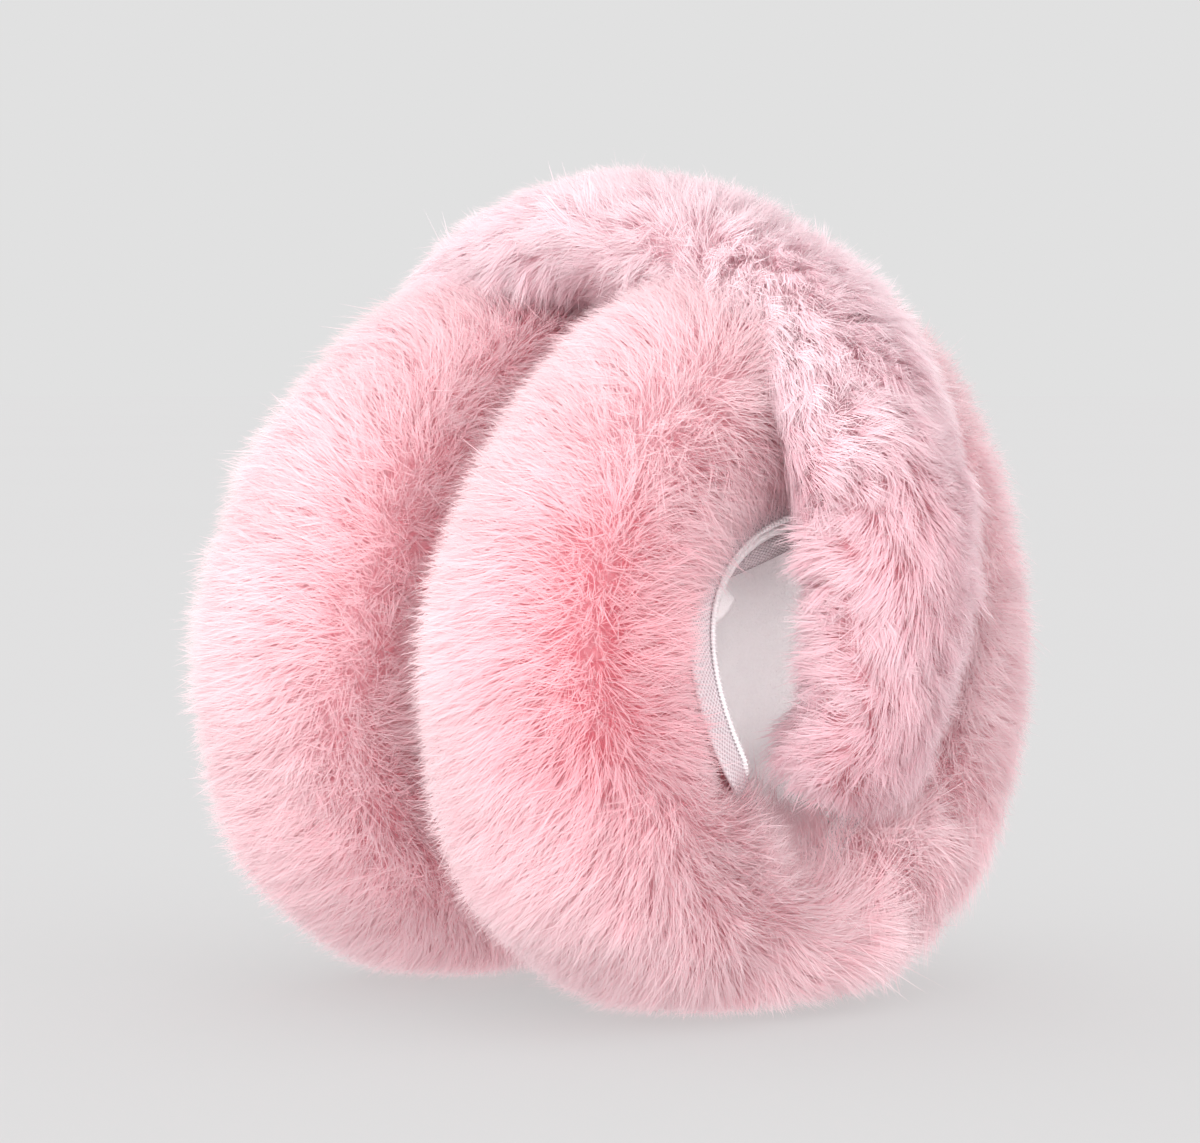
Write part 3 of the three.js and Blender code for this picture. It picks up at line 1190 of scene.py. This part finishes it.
    def ruffled(self, points: np.ndarray) -> np.ndarray:
        """Share of the low far side of the lobe, where the fur lies in tufts."""
        low = 1.0 - smooth_ramp(points[:, 2], self.low[2] + 28 * MM, self.low[2] + 48 * MM)
        far = smooth_ramp(points[:, 1], self.centre[1] - 30 * MM, self.centre[1] - 8 * MM)
        return self.ear_side(points) * np.maximum(low * far, 0.25)

    @property
    def fan_share(self) -> float:
        """How strongly the fur fans out from the parting."""
        return 0.6 if self.side is Side.RIGHT else 0.0

    def tone_at(self, points: np.ndarray, normals: np.ndarray) -> np.ndarray:
        """Paleness: pale over the rim, which is painted light, and deeper on the lobe and in the
        parting, which is painted shade.
        """
        _, distance = self.from_parting(points)
        # painted shade: the strands round the parting are made deeper, for the shade that falls
        # into it
        parting_shade = 0.7 * np.exp(-((distance[:, 0] / (16 * MM)) ** 2)) * (self.side is Side.RIGHT)
        # painted shade on the lobe of the ear side, deepest on the left cup, whose lobe lies
        # between the cups in the right cup's shade
        depth = 0.04 if self.side is Side.RIGHT else 0.2
        lobe = depth * smooth_ramp(normals[:, 0], 0.1, 0.7)
        # the rim and the back keep the pale 0.8, which is painted light where the rim faces the
        # lamps
        return 0.8 - lobe - parting_shade

    def build_underlay(self) -> None:
        """Makes the padded form under the fur."""
        piece = self.underlay.build(
            f"cup_underlay_{self.side.value}", self.depth_at, self.lift_at
        )
        held = 1.0 - 0.9 * self.open_share(self.underlay.points)
        self.underlay.plump(held, reach=1.2 * MM)
        LOG.info("%s: %d points", piece.name, len(self.underlay.points))
        self.underlay.tint(self.tone_at(self.underlay.points, self.underlay.normals))
        Wardrobe.dress(piece, CUP_FUR)
        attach(piece, BODY)
        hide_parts(self.node)

    def build_fur(self) -> None:
        """Grows the coats of the ear side and of the back."""
        other = Side.LEFT if self.side is Side.RIGHT else Side.RIGHT
        neighbours = Neighbours((f"ear_cup_{other.value}",))
        for seed, face in enumerate(Face, start=11 * (2 + self.side.turn)):
            coat = Coat(
                f"cup_fur_{self.side.value}_{face.value}", self.strands, seed, CUP_FUR
            )
            piece = coat.grow(
                self.underlay,
                lambda points, normals: self.density_at(points, normals, face),
                self.comb_at,
                self.tone_at,
                neighbours,
            )
            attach(piece, BODY)
            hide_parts(self.node)
            LOG.info("%s: %d strands", piece.name, self.strands)

    def build_lining(self) -> None:
        """Makes the soft fleece bag in the pocket, with its slack folds."""
        low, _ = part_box(f"ear_lining_{self.side.value}")
        floor = low.x + 2.4 * MM
        turns = np.linspace(0.0, 2 * math.pi, 72, endpoint=False)
        cover = self.cover_zone(self.mouth.place(turns, 1.0, self.mouth.level))
        top = self.mouth.level - (2.2 + 2.4 * cover) * MM
        steps = np.linspace(0.0, 1.0, 26)
        rows = []
        for step in steps:
            swing = step * math.pi / 2
            share = 0.93 * max(math.cos(swing), 0.0) ** 0.62
            level = top - (top - floor) * math.sin(swing) ** 0.62
            slack = math.sin(math.pi * step)
            ripple = 0.035 * slack * np.sin(3 * turns + 4 * step) + 0.02 * slack * np.sin(
                5 * turns - 3 * step
            )
            share = np.maximum(share * (1.0 + ripple - 0.03), 0.002)
            rows.append(self.mouth.place(turns, share, level))
        piece = grid_mesh(f"ear_lining_{self.side.value}_fleece", np.array(rows), wrap_across=True)
        wall = piece.modifiers.new("wall", "SOLIDIFY")
        wall.thickness = 1.4 * MM
        wall.offset = -1.0
        settle(piece)
        Wardrobe.dress(piece, FLEECE)
        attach(piece, BODY)
        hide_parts(f"ear_lining_{self.side.value}")

    def build_knit_edge(self) -> None:
        """Makes the ring of knitted backing round the mouth, with a map of its loops."""
        around, across = 240, 9
        turns = np.linspace(0.0, 2 * math.pi, around, endpoint=False)
        line = self.mouth.place(turns, 1.0, self.mouth.level)
        bare, cover = self.bare_zone(line), self.cover_zone(line)
        start = self.mouth.level - (1.6 + 1.6 * cover) * MM
        rows = []
        for step in np.linspace(0.0, 1.0, across):
            sag = 0.2 * MM * np.sin(9 * turns + 2.0 * step) * step
            rise = (0.4 + 1.6 * bare) * step * MM + sag
            rows.append(self.mouth.place(turns, 0.97 + (0.2 + 0.1 * bare) * step, start + rise))
        piece = grid_mesh(f"knit_edge_{self.side.value}_knit", np.array(rows), wrap_across=True)
        map_threads(piece, around, across, wrapped=True)
        wall = piece.modifiers.new("wall", "SOLIDIFY")
        wall.thickness = 0.6 * MM
        wall.offset = -1.0
        settle(piece)
        Wardrobe.dress(piece, KNIT)
        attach(piece, BODY)
        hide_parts(f"knit_edge_{self.side.value}")

    def build_stitched_edge(self) -> None:
        """Makes the rolled edge of the mouth and the whip stitches round it."""
        turns = np.linspace(0.0, 2 * math.pi, 270, endpoint=False)
        cover = self.cover_zone(self.mouth.place(turns, 1.0, self.mouth.level))
        line = self.mouth.place(turns, 0.985, self.mouth.level - (0.4 + 3.4 * cover) * MM)
        ahead = unit(np.roll(line, -1, axis=0) - np.roll(line, 1, axis=0))
        out = unit(np.cross(ahead, np.array([1.0, 0.0, 0.0])))
        up = np.cross(out, ahead)
        around = np.linspace(0.0, 2 * math.pi, 8, endpoint=False)
        core = 0.36 * MM
        rows = [line + core * (math.cos(a) * out + math.sin(a) * up) for a in around]
        roll = grid_mesh(
            f"stitched_edge_{self.side.value}_roll",
            np.array(rows),
            wrap_rows=True,
            wrap_across=True,
        )
        Wardrobe.dress(roll, YARN)
        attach(roll, BODY)
        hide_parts(f"stitched_edge_{self.side.value}")
        stitches = self.whip_stitches(line, ahead, out, up, core)
        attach(stitches, BODY)
        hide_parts(f"stitched_edge_{self.side.value}")

    def whip_stitches(
        self, line: np.ndarray, ahead: np.ndarray, out: np.ndarray, up: np.ndarray, core: float
    ) -> bpy.types.Object:
        """Slanted stitches, each a thin yarn bent over the rolled edge.

        Args:
            line: places along the edge.
            ahead: the edge's direction there.
            out: the direction away from the mouth's middle.
            up: the direction out of the pocket.
            core: the rolled edge's radius.

        Returns:
            The stitches as one piece.
        """
        arc = np.linspace(-0.35 * math.pi, 1.25 * math.pi, 7)
        ring = np.linspace(0.0, 2 * math.pi, 4, endpoint=False)
        yarn = 0.17 * MM
        points, faces = [], []
        for place, forward, outward, upward in zip(line, ahead, out, up):
            base = len(points)
            for k, turn in enumerate(arc):
                away = math.cos(turn) * outward + math.sin(turn) * upward
                slant = (k / (len(arc) - 1) - 0.5) * 0.45 * MM
                centre = place + (core + 0.6 * yarn) * away + slant * forward
                thin = yarn * (0.45 if k in (0, len(arc) - 1) else 1.0)
                points += [
                    centre + thin * (math.cos(r) * away + math.sin(r) * forward) for r in ring
                ]
            for k in range(len(arc) - 1):
                for r in range(4):
                    s = (r + 1) % 4
                    low, high = base + 4 * k, base + 4 * (k + 1)
                    faces.append((low + r, low + s, high + s, high + r))
        mesh = bpy.data.meshes.new(f"stitched_edge_{self.side.value}_stitches")
        mesh.from_pydata([tuple(p) for p in points], [], faces)
        mesh.polygons.foreach_set("use_smooth", np.ones(len(faces), bool))
        piece = link(mesh.name, mesh)
        Wardrobe.dress(piece, YARN)
        return piece

    def build(self) -> None:
        """Builds and dresses the whole cup."""
        self.build_underlay()
        self.build_fur()
        self.build_lining()
        self.build_knit_edge()
        self.build_stitched_edge()
        LOG.info("%s cup built", self.side.value)


@dataclass
class PocketTrim:
    """The grey tape and the folded flap in the top corner of the right cup's pocket."""

    mouth: Mouth
    tape_cut: tuple[float, float] = (10 * MM, 30 * MM)
    flap_cut: tuple[float, float] = (10 * MM, 12 * MM)

    def corner_sheet(
        self, name: str, start: float, end: float, inner, level: float, wave: float
    ) -> bpy.types.Object:
        """A thin sheet between the mouth's edge and an inner edge.

        Args:
            name: the piece's name.
            start: angle of one end from the mouth's top, in degrees.
            end: angle of the other end.
            inner: a function of the share along the sheet that gives the inner edge's place.
            level: the sheet's place along the stack's axis.
            wave: how far the sheet swells between its ends.

        Returns:
            The sheet, with a map of its threads.
        """
        turns = np.radians(np.linspace(start, end, 40))
        outer = self.mouth.place(turns, 0.97, level)
        shares = np.linspace(0.0, 1.0, 40)
        rows = []
        for step in np.linspace(0.0, 1.0, 12):
            edge = np.array([inner(share) for share in shares])
            row = outer * (1.0 - step) + edge * step
            row[:, 0] += wave * np.sin(math.pi * shares) * math.sin(math.pi * (0.2 + 0.6 * step))
            rows.append(row)
        piece = grid_mesh(name, np.array(rows))
        map_threads(piece, 40, 12, wrapped=False)
        wall = piece.modifiers.new("wall", "SOLIDIFY")
        wall.thickness = 0.5 * MM
        wall.offset = 0.0
        return settle(piece)

    def build(self) -> None:
        """Builds and dresses the tape and the flap."""
        tape_low, tape_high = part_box("lining_tape")
        level = (tape_low.x + tape_high.x) / 2 + 0.3 * MM
        ends = self.mouth.place(np.radians(np.array([48.0, -14.0])), 0.9, level)
        tape = self.corner_sheet(
            "lining_tape_ribbon", 48.0, -14.0,
            lambda share: ends[0] * (1 - share) + ends[1] * share, level, 0.8 * MM,
        )
        Wardrobe.dress(tape, TAPE)
        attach(tape, BODY)
        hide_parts("lining_tape")
        flap_low, flap_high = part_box("lining_flap")
        level = (flap_low.x + flap_high.x) / 2
        flap = self.corner_sheet(
            "lining_flap_fold", 43.0, 70.0,
            lambda share: self.mouth.place(
                np.radians(43.0 + 27.0 * share), 0.68 + 0.27 * share**2.4, level
            ),
            level, 0.8 * MM,
        )
        Wardrobe.dress(flap, FLEECE)
        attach(flap, BODY)
        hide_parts("lining_flap")
        LOG.info("pocket trim built")


@dataclass
class Headband:
    """The furred headband, arched over the cups and rolled down before the right one."""

    strands: int
    pile: float = 6.5 * MM
    width: float = 39.0 * MM
    thickness: float = 25.0 * MM
    tip_scale: float = 0.62
    sections: int = 120
    sides: int = 36
    node: str = "headband"
    stations: tuple[tuple[float, float], ...] = (
        (-41.0, 98.0), (-47.0, 111.0), (-42.0, 123.0), (-25.0, 131.5), (0.0, 134.0), (24.0, 127.0),
        (44.0, 111.0), (55.0, 90.0), (56.5, 69.0), (51.0, 51.0), (41.0, 40.0),
    )

    def __post_init__(self) -> None:
        """Finds the middle of the band's loop from its CAD solid."""
        low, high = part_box(self.node)
        self.hub = np.array([low.x + 70 * MM, 0.0, high.z - 70 * MM])
        self.crown = math.radians(84.0)
        self.underlay = Underlay(self.node)

    def route(self) -> tuple[np.ndarray, np.ndarray]:
        """The band's centre line, smoothly through its stations.

        Returns:
            Places and directions in the plane of the loop, as rows.
        """
        marks = np.array(self.stations) * MM
        knots = np.insert(np.cumsum(np.linalg.norm(np.diff(marks, axis=0), axis=1) ** 0.5), 0, 0.0)
        slopes = np.gradient(marks, knots, axis=0)
        steps = np.linspace(0.0, knots[-1], self.sections)
        index = np.clip(np.searchsorted(knots, steps) - 1, 0, len(knots) - 2)
        span = (knots[index + 1] - knots[index])[:, None]
        t = (steps - knots[index])[:, None] / span
        line = (2 * t**3 - 3 * t**2 + 1) * marks[index]
        line += (t**3 - 2 * t**2 + t) * span * slopes[index]
        line += (3 * t**2 - 2 * t**3) * marks[index + 1] + (t**3 - t**2) * span * slopes[index + 1]
        return line, unit(np.gradient(line, axis=0))

    def rows(self, inset: float) -> np.ndarray:
        """Sections of the band's padded roll.

        Args:
            inset: how far the roll is drawn in from the fur's outer face.

        Returns:
            Points in an array of sections, sides and three coordinates.
        """
        line, ahead = self.route()
        turns = np.linspace(0.0, 2 * math.pi, self.sides, endpoint=False)
        open_share = smooth_ramp(line[:, 1], 26 * MM, 92 * MM)
        narrow = np.where(line[:, 0] > 0.0, self.tip_scale + (1 - self.tip_scale) * open_share, 1.0)
        travel = np.insert(np.cumsum(np.linalg.norm(np.diff(line, axis=0), axis=1)), 0, 0.0)
        end = np.minimum(travel, travel[-1] - travel) / (12 * MM)
        round_off = np.sqrt(np.clip(1.0 - (1.0 - np.clip(end, 0.0, 1.0)) ** 2, 0.004, 1.0))
        half_width = (self.width / 2 * narrow - inset) * round_off
        half_depth = (self.thickness / 2 - inset) * round_off
        out = np.stack([-ahead[:, 1], np.zeros(len(line)), ahead[:, 0]], axis=1)
        rows = np.zeros((len(line), self.sides, 3))
        rows[:, :, 0::2] = line[:, None, :]
        rows[:, :, 1] = half_width[:, None] * np.cos(turns)
        return rows + (half_depth[:, None] * np.sin(turns))[:, :, None] * out[:, None, :]

    def turn_of(self, points: np.ndarray) -> np.ndarray:
        """How far round the loop each point is past the crown, in radians."""
        return self.crown - np.arctan2(points[:, 2] - self.hub[2], points[:, 0] - self.hub[0])

    def comb_at(self, points: np.ndarray, normals: np.ndarray) -> np.ndarray:
        """Combing direction: from the crown towards both ends and out to the sides."""
        spoke = points - self.hub
        spoke[:, 1] = 0.0
        spoke = unit(spoke)
        turn = self.turn_of(points)
        along = np.stack([spoke[:, 2], np.zeros(len(points)), -spoke[:, 0]], axis=1)
        rolled = smooth_ramp(turn, 0.5, 1.1)[:, None]
        aside = np.zeros_like(points)
        aside[:, 1] = np.clip(points[:, 1] / (16 * MM), -1.0, 1.0)
        comb = along * np.tanh(turn / 0.3)[:, None] * 0.6 + aside * (0.15 + 0.45 * rolled)
        return comb + drift(points, 30 * MM, 2.7) * (0.2 + 0.4 * rolled)

    def tone_at(self, points: np.ndarray, normals: np.ndarray) -> np.ndarray:
        """Paleness: paler over the crown, deeper down the roll, and deeper still on the underside,
        which is painted shade.
        """
        # painted shade on the underside of the band, where it faces down
        under = smooth_ramp(-normals[:, 2], 0.2, 0.8)
        return 0.82 - 0.42 * smooth_ramp(self.turn_of(points), 0.6, 1.4) - 0.4 * under

    def density_at(self, points: np.ndarray, normals: np.ndarray) -> np.ndarray:
        """Share of fur, none where the roll is pressed into a cup."""
        buried = np.zeros(len(points), bool)
        for side in Side:
            buried |= Neighbours((f"ear_cup_{side.value}",)).depth_of(points) > 5 * MM
        return np.where(buried, 0.0, 1.0)

    def build(self) -> None:
        """Builds and dresses the band's underlay and its coat."""
        piece = self.underlay.wrap("headband_underlay", self.rows(0.0), self.rows(self.pile))
        self.underlay.tint(self.tone_at(self.underlay.points, self.underlay.normals))
        Wardrobe.dress(piece, BAND_FUR)
        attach(piece, BODY)
        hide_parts(self.node)
        coat = Coat(
            "headband_fur", self.strands, 71, BAND_FUR,
            upright=14.0, sweep=74.0, lock_pull=0.4, unruly=0.3, strands_per_lock=26,
        )
        fur = coat.grow(
            self.underlay, self.density_at, self.comb_at, self.tone_at, Neighbours(())
        )
        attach(fur, BODY)
        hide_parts(self.node)
        LOG.info("headband built: %d strands", self.strands)


# ---------------------------------------------------------------- the studio


@dataclass
class Studio:
    """A pale floor, soft lights and the camera.

    The backdrop is what the camera sees of the surroundings. The tent and the floor's glow are
    what they light the object with, which is brighter.
    """

    azimuth: float = 46.0
    elevation: float = 3.0
    distance: float = 0.70
    lens: float = 117.6
    aim_left: float = 9.3 * MM
    aim_height: float = 75.0 * MM
    backdrop: Colour = (0.753, 0.753, 0.753)
    tent: Colour = (1.3, 1.28, 1.29)
    floor_glow: Colour = (1.1, 1.07, 1.08)
    floor_share: float = 0.22
    unlit: bpy.types.Collection | None = None

    def build_camera(self) -> None:
        """Places the camera low beside the stack, looking at its middle."""
        turn, lift = math.radians(self.azimuth), math.radians(self.elevation)
        back = Vector(
            (math.sin(turn) * math.cos(lift), -math.cos(turn) * math.cos(lift), math.sin(lift))
        )
        right = Vector((math.cos(turn), math.sin(turn), 0.0))
        aim = Vector((0.0, 0.0, self.aim_height)) - right * self.aim_left
        data = bpy.data.cameras.new("camera")
        data.lens = self.lens
        data.sensor_width = 36.0
        data.clip_start = 0.01
        camera = bpy.data.objects.new("camera", data)
        bpy.context.scene.collection.objects.link(camera)
        camera.location = aim + back * self.distance
        camera.rotation_mode = "QUATERNION"
        camera.rotation_quaternion = (-back).to_track_quat("-Z", "Y")
        bpy.context.scene.camera = camera

    def area_light(
        self,
        name: str,
        azimuth: float,
        elevation: float,
        distance: float,
        size: float,
        power: float,
        lit: bpy.types.Collection | None = None,
    ) -> None:
        """A soft square light that looks at the object's middle.

        Args:
            name: the light's name.
            azimuth: where it stands, as for the camera, in degrees.
            elevation: its height above the horizon, in degrees.
            distance: from the object.
            size: its side.
            power: in watts.
            lit: the only things it lights, or None for all but the floor.
        """
        turn, lift = math.radians(azimuth), math.radians(elevation)
        back = Vector(
            (math.sin(turn) * math.cos(lift), -math.cos(turn) * math.cos(lift), math.sin(lift))
        )
        data = bpy.data.lights.new(name, "AREA")
        data.shape = "SQUARE"
        data.size = size
        data.energy = power
        lamp = bpy.data.objects.new(name, data)
        bpy.context.scene.collection.objects.link(lamp)
        lamp.location = Vector((0.0, 0.0, self.aim_height)) + back * distance
        lamp.rotation_mode = "QUATERNION"
        lamp.rotation_quaternion = (-back).to_track_quat("-Z", "Y")
        lamp.light_linking.receiver_collection = lit or self.unlit

    def build_floor(self) -> None:
        """Makes the pale floor, wide enough to pass the horizon on every side."""
        reach, rings, spokes = 14.0, 24, 64
        turns = np.linspace(0.0, 2 * math.pi, spokes, endpoint=False)
        rows = []
        for ring in range(rings):
            radius = reach * (ring / (rings - 1)) ** 2 + 0.001
            rows.append(
                np.stack([radius * np.cos(turns), radius * np.sin(turns), 0 * turns - 0.2 * MM], 1)
            )
        floor = grid_mesh("studio_floor", np.array(rows)[::-1], wrap_across=True)
        material = bpy.data.materials.new("pale floor")
        material.use_nodes = True
        tree = material.node_tree
        shader = tree.nodes["Principled BSDF"]
        place = add_node(tree, "ShaderNodeTexCoord")
        texture = add_node(tree, "ShaderNodeTexNoise", {"Scale": 2.0, "Detail": 2.0})
        share = self.floor_share
        tone = add_node(tree, "ShaderNodeMapRange", {3: share - 0.004, 4: share + 0.004})
        tree.links.new(place.outputs["Object"], texture.inputs["Vector"])
        tree.links.new(texture.outputs[0], tone.inputs[0])
        tree.links.new(tone.outputs[0], shader.inputs["Base Color"])
        shader.inputs["Roughness"].default_value = 1.0
        shader.inputs["Specular IOR Level"].default_value = 0.0
        shader.inputs["Emission Color"].default_value = (1.0, 1.0, 1.0, 1.0)
        shader.inputs["Emission Strength"].default_value = self.backdrop[0] - share * self.tent[0]
        glow = add_node(tree, "ShaderNodeEmission", {0: (*self.floor_glow, 1.0)})
        path = add_node(tree, "ShaderNodeLightPath")
        both = add_node(tree, "ShaderNodeMixShader")
        tree.links.new(path.outputs["Is Camera Ray"], both.inputs[0])
        tree.links.new(glow.outputs[0], both.inputs[1])
        tree.links.new(shader.outputs[0], both.inputs[2])
        tree.links.new(both.outputs[0], tree.nodes["Material Output"].inputs["Surface"])
        material.cycles.emission_sampling = "NONE"
        floor.data.materials.append(material)
        self.unlit.objects.link(floor)
        self.unlit.collection_objects[0].light_linking.link_state = "EXCLUDE"

    def build_lights(self) -> None:
        """Sets the surroundings, grey to the camera and brighter to the fur, and four lamps."""
        world = bpy.data.worlds.new("pale surroundings")
        world.use_nodes = True
        tree = world.node_tree
        seen = tree.nodes["Background"]
        seen.inputs[0].default_value = (*self.backdrop, 1.0)
        tent = add_node(tree, "ShaderNodeBackground", {0: (*self.tent, 1.0)})
        both = add_node(tree, "ShaderNodeMixShader")
        path = add_node(tree, "ShaderNodeLightPath")
        tree.links.new(path.outputs["Is Camera Ray"], both.inputs[0])
        tree.links.new(tent.outputs[0], both.inputs[1])
        tree.links.new(seen.outputs[0], both.inputs[2])
        tree.links.new(both.outputs[0], tree.nodes["World Output"].inputs[0])
        bpy.context.scene.world = world
        bpy.context.scene.view_settings.view_transform = "Standard"
        bpy.context.scene.cycles.max_bounces = 8
        bpy.context.scene.cycles.diffuse_bounces = 5
        bpy.context.scene.cycles.transmission_bounces = 8
        self.area_light("key_light", -14.0, 42.0, 1.1, 0.7, 4.0)
        self.area_light("low_light", 24.0, 3.0, 1.2, 0.7, 19.0)
        self.area_light("fill_light", 70.0, 9.0, 1.4, 1.2, 4.0)
        self.area_light("side_light", 112.0, 20.0, 1.4, 1.0, 4.0)

    def light_pockets(self) -> None:
        """Adds a weak lamp for the cloth inside the pockets, which the fur shades."""
        pockets = bpy.data.collections.new("cloth in the pockets")
        for piece in bpy.data.objects:
            if piece.name.startswith(("ear_lining", "lining")) and piece.name not in frame["nodes"]:
                pockets.objects.link(piece)
        self.area_light("pocket_light", 50.0, 8.0, 1.2, 0.4, 5.0, pockets)

    def build(self) -> None:
        """Builds the floor, which the lamps leave out, and the lights."""
        self.unlit = bpy.data.collections.new("lit by the surroundings alone")
        self.build_floor()
        self.build_lights()


def main() -> None:
    """Builds the studio and every sub-assembly of the earmuffs in order."""
    logging.basicConfig(level=logging.INFO, format="%(name)s %(message)s")
    studio = Studio()
    studio.build_camera()
    studio.build()
    cups = {side: EarCup(side, strands=88000) for side in Side}
    for cup in cups.values():
        cup.build()
    PocketTrim(cups[Side.RIGHT].mouth).build()
    Headband(strands=90000).build()
    studio.light_pockets()
    faces = sum(len(p.data.loop_triangles) for p in bpy.data.objects if p.type == "MESH")
    LOG.info("%d triangles in all, CAD copies included", faces)


if __name__ == "__main__":
    main()
